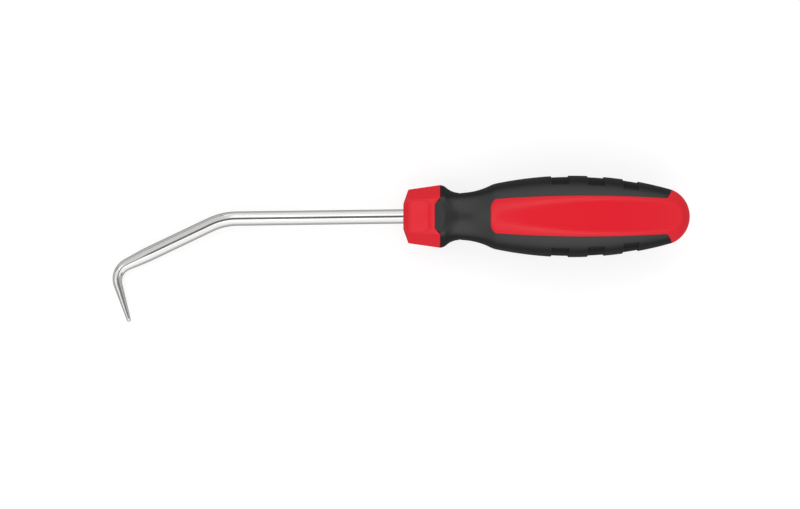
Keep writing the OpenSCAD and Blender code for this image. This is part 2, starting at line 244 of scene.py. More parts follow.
class HandleForm:
    """The handle's curves: x runs along the axis, and turn is the angle about it from the front."""

    soft_edge = 0.7 * MM
    soft_shoulder = 0.5 * MM
    # A blunt corner lies between a round, which is 1, and a straight cut, which is 2
    blunt = 1.4
    # Sideways run of a tongue's slanting corners, against the tongue's length
    tongue_slant = 0.8
    # Share of the climb's radius past which only the belly counts
    climb_end = 0.9
    # A flat of the hexagon counts where the cosine of the angle from it is above this
    facing = 0.3
    # Rounds in which a point that depends on itself settles
    turn_rounds = 12
    edge_rounds = 30

    def __init__(self, sizes):
        self.sizes = sizes
        self.flange_r = sizes.flange / 2
        self.neck_r = sizes.neck / 2
        self.belly_r = sizes.belly / 2
        self.butt_r = sizes.butt / 2
        self.neck_x = sizes.nose + sizes.neck_gap
        self.shoulder_x = self.neck_x + sizes.shoulder_gap
        self.belly_x = self.shoulder_x + sizes.belly_gap
        self.end_x = self.belly_x + sizes.butt_gap
        self.taper = math.tan(sizes.nose_taper)
        self.flat_taper = math.tan(sizes.flat_taper)
        self.work_out_skin()
        self.work_out_panel()

    def work_out_skin(self):
        sizes = self.sizes
        low = self.neck_r - self.flange_r + sizes.flange_round
        crest_square = sizes.flange_round**2
        self.dip_r = (low * low + sizes.neck_gap**2 - crest_square) / (2 * (sizes.flange_round - low))
        self.crest_y = self.flange_r - sizes.flange_round
        self.dip_y = self.neck_r + self.dip_r
        meet = math.atan2(self.dip_y - self.crest_y, sizes.neck_gap)
        self.crest_end = sizes.nose + sizes.flange_round * math.cos(meet)
        self.climb = climb_radius(sizes.shoulder_gap, sizes.shoulder / 2 - self.neck_r)
        self.front_bow = climb_radius(sizes.belly_gap, self.belly_r - sizes.shoulder / 2)
        run = sizes.butt_gap - self.butt_r
        fall = self.belly_r - self.butt_r
        self.rear_bow = (self.belly_r**2 - self.butt_r**2 + run * run) / (2 * fall)
        self.dome_x = self.belly_x + run
        self.dome_start = self.dome_x + self.butt_r * run / (self.rear_bow - self.butt_r)
        self.flat_x = self.belly_x - sizes.flat_lead
        self.flat_top = self.belly_r - sizes.flat_cut

    def work_out_panel(self):
        sizes = self.sizes
        half = sizes.panel_width / 2
        self.panel_x = self.shoulder_x - sizes.panel_lead
        self.crest_x = self.belly_x + sizes.panel_crest
        self.bow_y = half - sizes.panel_bow
        self.corner_x = self.panel_x + sizes.corner_length
        edge_start_y = self.bow_y + math.sqrt(sizes.panel_bow**2 - (self.crest_x - self.corner_x) ** 2)
        self.corner_y = edge_start_y - sizes.corner_width
        diagonal = math.sqrt(0.5) ** self.blunt
        self.corner_mid = (
            self.corner_x - sizes.corner_length * diagonal,
            self.corner_y + sizes.corner_width * diagonal,
        )
        self.sleeve_end = self.end_x - sizes.cap
        fall = math.asin((self.sleeve_end - self.crest_x) / sizes.panel_bow)
        edge_end_y = self.bow_y + sizes.panel_bow * math.cos(fall)
        self.cap_x = self.sleeve_end + sizes.cap_corner * math.sin(fall)
        self.cap_y = edge_end_y + sizes.cap_corner * math.cos(fall)
        middle = -(RIGHT_ANGLE + fall + sizes.cap_slant) / 2
        self.cap_mid = (
            self.cap_x + sizes.cap_corner * math.cos(middle),
            self.cap_y + sizes.cap_corner * math.sin(middle),
        )
        self.slant_start = (
            self.cap_x + sizes.cap_corner * math.cos(sizes.cap_slant),
            self.cap_y - sizes.cap_corner * math.sin(sizes.cap_slant),
        )
        self.tongue_x = sizes.nose - sizes.tongue
        self.tongue_r = self.tongue_slant * sizes.tongue
        self.tongue_y = sizes.tongue_width / 2 - self.tongue_r

    def skin(self, x):
        """Radius of the round skin; over the nose, that of the cone which its corners are turned to."""
        sizes = self.sizes
        if x <= sizes.nose:
            return self.flange_r - (sizes.nose - x) * self.taper
        if x < self.crest_end:
            return self.crest_y + math.sqrt(sizes.flange_round**2 - (x - sizes.nose) ** 2)
        if x < self.neck_x:
            return self.dip_y - math.sqrt(self.dip_r**2 - (x - self.neck_x) ** 2)
        if x >= self.dome_start:
            return math.sqrt(max(self.butt_r**2 - (x - self.dome_x) ** 2, 0.0))
        bow = self.front_bow if x < self.belly_x else self.rear_bow
        belly = self.belly_r - bow + math.sqrt(bow * bow - (x - self.belly_x) ** 2)
        if x > self.neck_x + self.climb_end * self.climb:
            return belly
        climb = self.neck_r + self.climb - math.sqrt(self.climb**2 - (x - self.neck_x) ** 2)
        return softer_min(climb, belly, self.soft_shoulder)

    def flat(self, x):
        """Height of the panel's bowed flat."""
        bow = self.sizes.flat_bow
        return self.flat_top - bow + math.sqrt(bow * bow - (x - self.flat_x) ** 2)

    def front_half(self, x):
        """Half the depth across the nose's front and back flats."""
        return self.sizes.nose_depth / 2 - (self.sizes.nose - x) * self.flat_taper

    def side_half(self, x):
        """Half the width across a pair of the nose's slanting flats."""
        return self.sizes.nose_side / 2 - (self.sizes.nose - x) * self.taper

    def grip_radius(self, x, turn):
        """Radius of the sleeve: the round skin, cut by the hexagon that runs on from the nose."""
        sizes = self.sizes
        radius = self.skin(x)
        if x >= self.neck_x:
            return radius
        # The hexagon's edges soften from the nose towards the neck
        soft = self.soft_edge + max(x - sizes.nose, 0.0) / 2
        for step in range(6):
            off = math.cos(turn - step * SIXTH_TURN)
            if off > self.facing:
                # Flats 0 and 3 are the front and the back
                half = self.front_half(x) if step % 3 == 0 else self.side_half(x)
                radius = softer_min(radius, half / off, soft)
        return radius

    def grip_point(self, x, turn):
        radius = self.grip_radius(x, turn)
        return Vector((x, radius * math.sin(turn), radius * math.cos(turn)))

    def panel_point(self, x, turn):
        """A point of the hard plastic's skin, on the round form or on the panel's flat."""
        radius = self.skin(x)
        # The lift ends at the butt's pole, where the skin closes
        radius += min(self.sizes.panel_proud, radius)
        height = radius * math.cos(turn)
        if turn < RIGHT_ANGLE:
            height = softer_min(height, self.flat(x), self.soft_edge)
        return Vector((x, radius * math.sin(turn), height))

    def turn_at(self, x, across):
        """Angle about the axis at which the sleeve's skin is so far across."""
        turn = math.asin(min(across / self.skin(x), 1.0))
        for _ in range(self.turn_rounds):
            turn = math.asin(min(across / self.grip_radius(x, turn), 1.0))
        return turn

    def edge_half(self, x):
        """Half-width of the line between hard and soft plastic, from the tongue to the rear corner."""
        sizes = self.sizes
        if x < sizes.nose:
            return self.tongue_y + self.tongue_r * (x - self.tongue_x) / sizes.tongue
        if x < self.corner_mid[0]:
            along = (x - sizes.nose) / (self.corner_mid[0] - sizes.nose)
            return sizes.tongue_width / 2 * (1 - along) + self.corner_mid[1] * along
        if x < self.corner_x:
            ahead = (self.corner_x - x) / sizes.corner_length
            return self.corner_y + sizes.corner_width * self.rest_of_corner(ahead)
        if x < self.sleeve_end:
            return self.bow_y + math.sqrt(sizes.panel_bow**2 - (x - self.crest_x) ** 2)
        drop = sizes.cap_corner**2 - (x - self.cap_x) ** 2
        return self.cap_y - math.sqrt(max(drop, 0.0))

    def panel_front(self, across):
        """Front edge of the panel, at a distance from its middle line."""
        over = max(abs(across) - self.corner_y, 0.0) / self.sizes.corner_width
        return self.corner_x - self.sizes.corner_length * self.rest_of_corner(over)

    def rest_of_corner(self, part):
        """How far a blunt corner goes one way, by how far it goes the other way."""
        return max(1 - part ** (2 / self.blunt), 0.0) ** (self.blunt / 2)

    def neck_rows(self):
        """Rows from the nose over the flange and along the neck to the panel's front corner."""
        crest_rows = 8
        dip_rows = 9
        climb_rows = 18
        rows = even_steps(self.sizes.nose, self.crest_end, crest_rows)
        rows += even_steps(self.crest_end, self.neck_x, dip_rows)
        return rows + even_steps(self.neck_x, self.corner_mid[0], climb_rows)

    def rear_edge(self, across):
        """Rear edge of the sleeve, at a distance from the middle line."""
        if across >= self.slant_start[1]:
            return self.slant_start[0] + (across - self.slant_start[1]) * math.tan(self.sizes.cap_slant)
        below = self.cap_y - across
        return self.cap_x + math.sqrt(max(self.sizes.cap_corner**2 - below * below, 0.0))

    def rear_edge_at(self, turn):
        """Rear edge of the sleeve on its skin, at an angle about the axis."""
        x = self.slant_start[0]
        for _ in range(self.edge_rounds):
            x = self.rear_edge(self.skin(x) * math.sin(turn))
        return x


def mapped_grid(bm, rows, columns, place):
    """A sheet whose corners are moved to place(row, column); returns its faces by row and column."""
    made = bmesh.ops.create_grid(bm, x_segments=rows, y_segments=columns, size=1.0)
    faces = {face for vert in made["verts"] for face in vert.link_faces}
    cells = {}
    for face in faces:
        middle = face.calc_center_median()
        row = int((middle.x + 1) / 2 * rows)
        column = int((middle.y + 1) / 2 * columns)
        cells[row, column] = face
    for vert in made["verts"]:
        row = round((vert.co.x + 1) / 2 * rows)
        column = round((vert.co.y + 1) / 2 * columns)
        vert.co = place(row, column)
    return cells


def of_kind(parts, kind):
    """Those parts of a mesh that are of one kind."""
    return [part for part in parts if isinstance(part, kind)]


def open_edges(bm):
    return [edge for edge in bm.edges if edge.is_boundary]


def mirrored(bm, scale):
    """Adds a mirrored copy of all that is in the mesh."""
    everything = bm.verts[:] + bm.edges[:] + bm.faces[:]
    copy = bmesh.ops.duplicate(bm, geom=everything)
    verts = of_kind(copy["geom"], BMVert)
    faces = of_kind(copy["geom"], BMFace)
    bmesh.ops.scale(bm, vec=scale, verts=verts)
    bmesh.ops.reverse_faces(bm, faces=faces)


def welded(bm):
    bmesh.ops.remove_doubles(bm, verts=bm.verts[:], dist=WELD)
    bmesh.ops.recalc_face_normals(bm, faces=bm.faces[:])


def rounded(bm, edges, offset, segments):
    """Rounds edges over."""
    bmesh.ops.bevel(
        bm,
        geom=edges,
        offset=offset,
        offset_type="OFFSET",
        affect="EDGES",
        segments=segments,
        profile=0.5,
        material=-1,
        clamp_overlap=False,
    )


def lie_matrix():
    """From the tool's own axes to where it lies."""
    lie = bpy.context.scene.pick_lie
    tilt = Matrix.Rotation(-lie.tilt, 4, "Y")
    return Matrix.Translation((-lie.mid_x, -lie.mid_y, lie.lift)) @ tilt


def add_to(bm, other):
    """Moves a finished shell into the piece that it belongs to."""
    mesh = bpy.data.meshes.new("shell")
    other.to_mesh(mesh)
    other.free()
    bm.from_mesh(mesh)
    bpy.data.meshes.remove(mesh)


def finished_piece(bm, name, material, node):
    """Lays the mesh in its place and makes the piece that stands for a CAD node."""
    bm.transform(lie_matrix())
    for face in bm.faces:
        face.smooth = True
    for edge in bm.edges:
        edge.smooth = edge.calc_face_angle(0.0) < SHARP_ANGLE
    mesh = bpy.data.meshes.new(name)
    bm.to_mesh(mesh)
    bm.free()
    mesh.materials.append(material)
    piece = bpy.data.objects.new(name, mesh)
    bpy.context.scene.collection.objects.link(piece)
    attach(piece, "root")
    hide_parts(node)
    return piece


def even_shading(piece):
    """Lets large faces stay flat beside their rounded edges."""
    weighted = piece.modifiers.new("Even shading", "WEIGHTED_NORMAL")
    weighted.mode = "FACE_AREA"
    weighted.weight = 100
    weighted.keep_sharp = True


def add_node(tree, kind, **inputs):
    """A node, with values on the sockets that are named by their words joined with underscores."""
    node = tree.nodes.new(kind)
    for name, value in inputs.items():
        node.inputs[name.replace("_", " ")].default_value = value
    return node


def add_math(tree, operation, *values):
    """What a math node makes of outputs of other nodes and of plain numbers."""
    node = tree.nodes.new("ShaderNodeMath")
    node.operation = operation
    for socket, value in zip(node.inputs, values):
        if isinstance(value, float):
            socket.default_value = value
        else:
            tree.links.new(value, socket)
    return node.outputs["Value"]


def new_group(name, inputs, outputs):
    """A shader node group with plain number sockets, a vector called Place, and its end nodes."""
    group = bpy.data.node_groups.new(name, "ShaderNodeTree")
    group.interface.new_socket("Place", in_out="INPUT", socket_type="NodeSocketVector")
    for socket in inputs:
        group.interface.new_socket(socket, in_out="INPUT", socket_type="NodeSocketFloat")
    for socket in outputs:
        group.interface.new_socket(socket, in_out="OUTPUT", socket_type="NodeSocketFloat")
    return group, group.nodes.new("NodeGroupInput"), group.nodes.new("NodeGroupOutput")


def moulded_grain():
    """Fine spark-eroded grain of a mould, with slow drifts in it."""
    if "Moulded grain" in bpy.data.node_groups:
        return bpy.data.node_groups["Moulded grain"]
    group, start, end = new_group("Moulded grain", ["Fineness"], ["Height", "Drift"])
    link = group.links.new
    fine = add_node(group, "ShaderNodeTexNoise", Detail=3.0, Roughness=0.6)
    drift = add_node(group, "ShaderNodeTexNoise", Detail=2.0, Scale=90.0)
    link(start.outputs["Place"], fine.inputs["Vector"])
    link(start.outputs["Fineness"], fine.inputs["Scale"])
    link(start.outputs["Place"], drift.inputs["Vector"])
    link(fine.outputs["Fac"], end.inputs["Height"])
    link(drift.outputs["Fac"], end.inputs["Drift"])
    return group


def handling_marks():
    """Faint smears from hands, as a mask."""
    if "Handling marks" in bpy.data.node_groups:
        return bpy.data.node_groups["Handling marks"]
    group, start, end = new_group("Handling marks", ["Fineness"], ["Marks"])
    link = group.links.new
    smear = add_node(group, "ShaderNodeTexNoise", Detail=4.0, Roughness=0.65, Distortion=0.8)
    clear = add_node(group, "ShaderNodeMapRange", From_Min=0.3, From_Max=0.8)
    link(start.outputs["Place"], smear.inputs["Vector"])
    link(start.outputs["Fineness"], smear.inputs["Scale"])
    link(smear.outputs["Fac"], clear.inputs["Value"])
    link(clear.outputs["Result"], end.inputs["Marks"])
    return group


class Finish:
    """A material in the making: its tree, its shader and the place that its patterns read."""

    def __init__(self, name):
        self.material = bpy.data.materials.new(name)
        self.material.use_nodes = True
        self.tree = self.material.node_tree
        self.shader = self.tree.nodes["Principled BSDF"]
        coordinates = self.tree.nodes.new("ShaderNodeTexCoord")
        self.place = coordinates.outputs["Object"]

    def group(self, tree, fineness):
        """The outputs of a node group that reads the place on the piece."""
        node = self.tree.nodes.new("ShaderNodeGroup")
        node.node_tree = tree
        node.inputs["Fineness"].default_value = fineness
        self.tree.links.new(self.place, node.inputs["Place"])
        return node.outputs

    def spread(self, value, low, high):
        """A value from nought to one, spread from low to high."""
        node = add_node(self.tree, "ShaderNodeMapRange", To_Min=low, To_Max=high)
        self.tree.links.new(value, node.inputs["Value"])
        return node.outputs["Result"]

    def marked(self, attribute):
        """The outputs for an attribute of the mesh."""
        node = self.tree.nodes.new("ShaderNodeAttribute")
        node.attribute_name = attribute
        return node.outputs

    def feed(self, value, socket):
        self.tree.links.new(value, self.shader.inputs[socket])

    def tinted(self, value, first, second):
        """Base colour that drifts between two tints."""
        mix = self.tree.nodes.new("ShaderNodeMix")
        mix.data_type = "RGBA"
        # The mix node has several sockets of each name, so its colours are found by their type
        colours = [socket for socket in mix.inputs if socket.type == "RGBA"]
        colours[0].default_value = (*first, 1.0)
        colours[1].default_value = (*second, 1.0)
        result = [socket for socket in mix.outputs if socket.type == "RGBA"][0]
        self.tree.links.new(value, mix.inputs["Factor"])
        self.feed(result, "Base Color")

    def drifting(self, value, tint, spread):
        """Base colour that drifts a little darker and lighter than a tint."""
        self.tinted(value, scaled(tint, 1 - spread), scaled(tint, 1 + spread))

    def shaded(self, attribute, kept):
        """Darkens the base colour on faces that are marked in an attribute of the mesh, as painted shade.
        """
        keep = self.spread(self.marked(attribute)["Fac"], 1.0, kept)
        scale = self.tree.nodes.new("ShaderNodeVectorMath")
        scale.operation = "SCALE"
        base = self.shader.inputs["Base Color"]
        self.tree.links.new(base.links[0].from_socket, scale.inputs[0])
        self.tree.links.new(keep, scale.inputs["Scale"])
        self.feed(scale.outputs["Vector"], "Base Color")

    def rougher(self, attribute, amount):
        """Adds roughness where an attribute of the mesh goes to one."""
        before = self.shader.inputs["Roughness"].links[0].from_socket
        total = add_math(self.tree, "MULTIPLY_ADD", self.marked(attribute)["Fac"], amount, before)
        self.feed(total, "Roughness")

    def low_angle(self, start, end):
        """A value that goes from nought to one as the surface turns away from the eye."""
        facing = add_node(self.tree, "ShaderNodeLayerWeight", Blend=0.5)
        spread = add_node(self.tree, "ShaderNodeMapRange", From_Min=start, From_Max=end)
        spread.interpolation_type = "SMOOTHSTEP"
        self.tree.links.new(facing.outputs["Facing"], spread.inputs["Value"])
        return spread.outputs["Result"]

    def matt_edges(self, turned, marks, roughness, smear):
        """Roughness that grows to matt as the surface turns away, with smears on it."""
        grown = self.spread(turned, roughness, MATT)
        self.feed(add_math(self.tree, "MULTIPLY_ADD", marks, smear, grown), "Roughness")

    def bumped(self, height, depth, strength):
        bump = add_node(self.tree, "ShaderNodeBump", Strength=strength, Distance=depth)
        self.tree.links.new(height, bump.inputs["Height"])
        self.feed(bump.outputs["Normal"], "Normal")


def scaled(tint, factor):
    return tuple(min(part * factor, 1.0) for part in tint)


def bright_steel():
    """Ground and plated rod: fine lines along its length, faint smears, and painted shade towards its
    edges.
    """
    look = bpy.context.scene.pick_finish
    smear = 0.06
    finish = Finish("Bright steel")
    finish.shader.inputs["Metallic"].default_value = 1.0
    finish.shader.inputs["Specular Tint"].default_value = (*look.steel_edge_tint_and_painted_shade, 1.0)
    lines = add_node(finish.tree, "ShaderNodeTexNoise", Scale=1.0, Detail=4.0, Roughness=0.7)
    finish.tree.links.new(finish.marked("rod_place")["Vector"], lines.inputs["Vector"])
    marks = finish.group(handling_marks(), fineness=160.0)["Marks"]
    # Painted shade: the base colour darkens from the steel tint to the edge tint as the surface turns
    # away from the eye, which was fitted to the photo
    finish.tinted(finish.low_angle(start=0.14, end=0.42), look.steel, look.steel_edge_tint_and_painted_shade)
    finish.feed(finish.spread(marks, look.steel_roughness, look.steel_roughness + smear), "Roughness")
    finish.rougher("ground", look.ground_roughness)
    finish.bumped(lines.outputs["Fac"], depth=0.02 * MM, strength=0.25)
    return finish.material


def red_plastic():
    """Semi-gloss hard plastic with a fine orange-peel skin."""
    look = bpy.context.scene.pick_finish
    finish = Finish("Red plastic")
    finish.shader.inputs["Specular IOR Level"].default_value = look.red_specular
    grain = finish.group(moulded_grain(), fineness=2200.0)
    marks = finish.group(handling_marks(), fineness=120.0)["Marks"]
    finish.drifting(grain["Drift"], look.red, spread=0.02)
    turned = finish.low_angle(start=0.01, end=0.14)
    finish.matt_edges(turned, marks, look.red_roughness, smear=0.015)
    finish.bumped(grain["Height"], depth=0.02 * MM, strength=0.35)
    return finish.material


def black_grip():
    """Soft overmould with a fine grain and painted shade in its grooves, under a satin coat that fades at
    low angles.
    """
    look = bpy.context.scene.pick_finish
    finish = Finish("Black grip")
    finish.shader.inputs["Specular IOR Level"].default_value = look.black_specular
    finish.shader.inputs["Coat Roughness"].default_value = look.coat_roughness
    grain = finish.group(moulded_grain(), fineness=3600.0)
    marks = finish.group(handling_marks(), fineness=110.0)["Marks"]
    finish.drifting(grain["Drift"], look.black, spread=0.05)
    # Painted shade in the grooves: their floors get a darker base colour
    finish.shaded("tread", look.groove_shade)
    coat = finish.spread(finish.low_angle(start=0.12, end=0.5), look.black_coat, 0.0)
    finish.feed(coat, "Coat Weight")
    turned = finish.low_angle(start=0.2, end=0.5)
    finish.matt_edges(turned, marks, look.black_roughness, smear=0.08)
    finish.bumped(grain["Height"], depth=0.05 * MM, strength=0.5)
    return finish.material


class RodPath:
    """The bent rod's centre line, by length from its end inside the handle."""

    def __init__(self, sizes):
        self.sizes = sizes
        self.heading = math.pi + sizes.lean
        arm_tangent = sizes.arm_bend * math.tan(sizes.arm_turn / 2)
        hook_tangent = sizes.hook_bend * math.tan(sizes.hook_turn / 2)
        hook_run = sizes.hook_bend * sizes.hook_turn
        tip_run = sizes.tip - hook_tangent
        self.runs = [
            (sizes.socket + sizes.straight - arm_tangent, 0.0),
            (sizes.arm_bend * sizes.arm_turn, sizes.arm_turn),
            (sizes.arm - arm_tangent - hook_tangent, 0.0),
            (hook_run, sizes.hook_turn),
            (tip_run, 0.0),
        ]
        self.total = sum(run for run, _ in self.runs)
        self.taper_start = self.total - sizes.taper
        self.hook_end = self.total - tip_run
        self.hook_start = self.hook_end - hook_run

    def stations(self):
        """Lengths at which the rod gets a ring, closer in the bends and on the taper."""
        counts = (60, 20, 16, 36, 18)
        places = []
        start = 0.0
        for (run, _), count in zip(self.runs, counts):
            places += even_steps(start, start + run, count)
            start += run
        round_from = self.total - self.sizes.tip_diameter / 2
        return [place for place in places if place < round_from]

    def at(self, along):
        """Centre and heading at a length along the rod."""
        root = Vector((-math.cos(self.heading), -math.sin(self.heading), 0.0)) * self.sizes.socket
        heading = self.heading
        centre = root
        left = along
        for run, turn in self.runs:
            part = min(left, run)
            if turn:
                radius = run / turn
                swept = part / radius
                side = Vector((-math.sin(heading), math.cos(heading), 0.0))
                heading += swept
                new_side = Vector((-math.sin(heading), math.cos(heading), 0.0))
                centre = centre + (side - new_side) * radius
            else:
                centre = centre + Vector((math.cos(heading), math.sin(heading), 0.0)) * part
            left -= part
        return centre, heading

    def radius(self, along):
        tapered = max(along - self.taper_start, 0.0) / self.sizes.taper
        return (self.sizes.diameter + (self.sizes.tip_diameter - self.sizes.diameter) * tapered) / 2


def pick_shaft_mesh():
    """The rod, drawn out ring by ring along its bent line, with its pressed wings inside the handle."""
    sizes = bpy.context.scene.pick_shaft
    path = RodPath(sizes)
    sides = 48
    tip_rings = 8
    line_spacing = 0.05 * MM
    line_length = 25.0 * MM
    tip_r = sizes.tip_diameter / 2
    rings = [(along, path.radius(along)) for along in path.stations()]
    for step in range(tip_rings):
        lean = RIGHT_ANGLE * step / tip_rings
        rings.append((path.total - tip_r + tip_r * math.sin(lean), tip_r * math.cos(lean)))
    bm = bmesh.new()
    rod_place = bm.verts.layers.float_vector.new("rod_place")
    ground = bm.verts.layers.float.new("ground")
    bmesh.ops.create_circle(bm, cap_ends=True, segments=sides, radius=1.0)
    loop = bm.edges[:]
    ring = bm.verts[:]
    unit = {vert: vert.co.copy() for vert in ring}
    for index, (along, radius) in enumerate(rings):
        if index:
            grown = bmesh.ops.extrude_edge_only(bm, edges=loop)["geom"]
            loop = of_kind(grown, BMEdge)
            new_ring = of_kind(grown, BMVert)
            # A new corner still lies on the one that it was drawn from
            by_place = {vert.co.copy().freeze(): unit[vert] for vert in ring}
            unit = {vert: by_place[vert.co.copy().freeze()] for vert in new_ring}
            ring = new_ring
            loop = [edge for edge in loop if all(vert in unit for vert in edge.verts)]
        centre, heading = path.at(along)
        side = Vector((-math.sin(heading), math.cos(heading), 0.0))
        along_hook = (along - path.hook_start) / (path.hook_end - path.hook_start)
        for vert in ring:
            spot = unit[vert]
            vert.co = centre + side * (spot.x * radius) + Vector((0.0, 0.0, spot.y * radius))
            around = sizes.diameter / 2 / line_spacing
            vert[rod_place] = (spot.x * around, spot.y * around, along / line_length)
            vert[ground] = min(max(along_hook, 0.0), 1.0)
    bmesh.ops.contextual_create(bm, geom=loop)
    root, heading = path.at(sizes.wing_length)
    place = Matrix.Translation(root) @ Matrix.Rotation(heading, 4, "Z")
    size = Matrix.Diagonal((sizes.wing_length, sizes.wing_width, sizes.wing_thickness, 1.0))
    bmesh.ops.create_cube(bm, size=1.0, matrix=place @ size)
    welded(bm)
    return bm


def nose_shell(form):
    """The hexagonal nose: rings of eight corners drawn back from the front face, then two notches."""
    sizes = form.sizes
    corners_of_ring = 8
    # The hexagon's two outer corners are cut to this share or less, so that each ring has eight
    widest = 0.97
    bm = bmesh.new()
    upright = Matrix.Rotation(RIGHT_ANGLE, 4, "Y") @ Matrix.Rotation(math.pi / corners_of_ring, 4, "Z")
    bmesh.ops.create_circle(
        bm, cap_ends=True, segments=corners_of_ring, radius=1.0, matrix=upright
    )

    def set_ring(verts, x, front, side):
        sharp = side / math.cos(TWELFTH_TURN)
        turned = min(form.skin(x), widest * sharp)
        for vert in verts:
            y_sign = math.copysign(1.0, vert.co.y)
            z_sign = math.copysign(1.0, vert.co.z)
            if abs(vert.co.z) > abs(vert.co.y):
                across = (side - front / 2) / math.cos(TWELFTH_TURN)
                vert.co = (x, y_sign * across, z_sign * front)
            else:
                vert.co = (x, y_sign * turned, z_sign * (sharp - turned) * math.tan(SIXTH_TURN))

    face_half = sizes.nose_face / 2
    set_ring(bm.verts, 0.0, face_half, face_half)
    loop = bm.edges[:]
    for x in (sizes.nose_chamfer, sizes.nose):
        grown = bmesh.ops.extrude_edge_only(bm, edges=loop)["geom"]
        ring = set(of_kind(grown, BMVert))
        set_ring(ring, x, form.front_half(x), form.side_half(x))
        loop = [edge for edge in bm.edges if ring.issuperset(edge.verts)]
    bmesh.ops.recalc_face_normals(bm, faces=bm.faces[:])
    lips = cut_notch(bm, form, 1.0) + cut_notch(bm, form, -1.0)
    corners = [edge for edge in bm.edges if edge.calc_face_angle(0.0) > FLAT_ANGLE]
    corners = [edge for edge in corners if on_hexagon(edge, form) and edge not in lips]
    bmesh.ops.contextual_create(bm, geom=open_edges(bm))
    bmesh.ops.recalc_face_normals(bm, faces=bm.faces[:])
    rounded(bm, corners, sizes.nose_rim, segments=4)
    rounded(bm, [edge for edge in lips if edge.is_valid], sizes.notch_lip, segments=3)
    return bm


def on_hexagon(edge, form):
    """Whether an edge lies on the outside of the nose, and not in a notch."""
    ahead = form.sizes.nose - form.sizes.tongue - WELD
    return min(vert.co.x for vert in edge.verts) < ahead


def cut_notch(bm, form, z_sign):
    """Lets one tongue's notch into a flat of the nose, and returns the edges of its mouth."""
    sizes = form.sizes
    front = sizes.nose - sizes.tongue
    level_enough = 0.9

    def on_flat(face, from_x):
        middle = face.calc_center_median()
        on_side = middle.z * z_sign > 0 and middle.x > from_x
        return on_side and abs(face.normal.z) > level_enough

    def cut(from_x, place, direction):
        faces = [face for face in bm.faces if on_flat(face, from_x)]
        parts = [part for face in faces for part in [face, *face.edges, *face.verts]]
        geometry = list(dict.fromkeys(parts))
        bmesh.ops.bisect_plane(bm, geom=geometry, dist=WELD, plane_co=place, plane_no=direction)

    cut(sizes.nose_chamfer, (front, 0.0, 0.0), (1.0, 0.0, 0.0))
    for y_sign in (1.0, -1.0):
        corner = (front, y_sign * form.tongue_y, 0.0)
        cut(front, corner, (form.tongue_r, -y_sign * sizes.tongue, 0.0))
    behind = [face for face in bm.faces if on_flat(face, front)]
    notch = min(behind, key=lambda face: abs(face.calc_center_median().y))
    lips = [edge for edge in notch.edges if not edge.is_boundary]
    beside = [edge for face in behind for edge in face.edges if edge not in lips]
    across = [edge for edge in beside if all(abs(vert.co.x - front) < WELD for vert in edge.verts)]
    bmesh.ops.delete(bm, geom=[notch], context="FACES")
    drawn = bmesh.ops.extrude_edge_only(bm, edges=lips)["geom"]
    bottom = of_kind(drawn, BMVert)
    bmesh.ops.translate(bm, vec=(0.0, 0.0, -z_sign * sizes.sleeve), verts=bottom)
    bmesh.ops.contextual_create(bm, geom=bottom)
    bmesh.ops.dissolve_edges(bm, edges=across, use_verts=True)
    return lips


def pad_shell(form):
    """A raised pad on the nose's front flat: crowned, with a sloping rear end and cut rear corners."""
    sizes = form.sizes
    rows = 20
    columns = 20
    sunk = 1.0 * MM
    # The slope ends this far under the nose's flat
    foot = 0.05 * MM
    # The pad's edges are rounded by this share of the other edges' rounding
    rim_share = 0.7
    front = sizes.nose_chamfer + sizes.pad_gap
    rear = front + sizes.pad_length
    corner_cut = sizes.pad_length / 3
    cut_slope = 0.42
    half = sizes.pad_width / 2
    crown_top = form.front_half(front) + sizes.pad_height

    def place(row, column):
        on_top = row < rows
        x = front + sizes.pad_length * row / (rows - 1) if on_top else rear + sizes.pad_slope
        behind = max(x - (rear - corner_cut), 0.0)
        y = (half - cut_slope * behind) * (2 * column / columns - 1)
        if not on_top:
            return Vector((x, y, form.front_half(x) - foot))
        crown = y * y / (2 * sizes.pad_crown)
        return Vector((x, y, crown_top + (x - front) * form.flat_taper - crown))

    bm = bmesh.new()
    mapped_grid(bm, rows, columns, place)
    rim = open_edges(bm)
    skirt = bmesh.ops.extrude_edge_only(bm, edges=rim)["geom"]
    skirt_verts = of_kind(skirt, BMVert)
    bmesh.ops.translate(bm, vec=(0.0, 0.0, -sunk), verts=skirt_verts)
    bmesh.ops.contextual_create(bm, geom=open_edges(bm))
    bmesh.ops.recalc_face_normals(bm, faces=bm.faces[:])
    rim = [edge for edge in rim if edge.is_valid]
    rounded(bm, rim, sizes.core_rim * rim_share, segments=3)
    return bm


def core_shell(form):
    """The core under the sleeve, turned about the axis."""
    sizes = form.sizes
    rows = 40
    sides = 48
    stations = even_steps(form.neck_x, form.sleeve_end, rows) + [form.sleeve_end]
    profile = [(x, form.skin(x) - sizes.sleeve) for x in stations]
    start = sizes.nose - sizes.tongue
    profile = [(start, 0.0), (start, profile[0][1])] + profile + [(form.sleeve_end, 0.0)]
    bm = bmesh.new()
    verts = [bm.verts.new((x, 0.0, radius)) for x, radius in profile]
    edges = [bm.edges.new(pair) for pair in zip(verts, verts[1:])]
    bmesh.ops.spin(
        bm,
        geom=verts + edges,
        cent=(0.0, 0.0, 0.0),
        axis=(1.0, 0.0, 0.0),
        angle=2 * math.pi,
        steps=sides,
        use_merge=True,
    )
    welded(bm)
    return bm


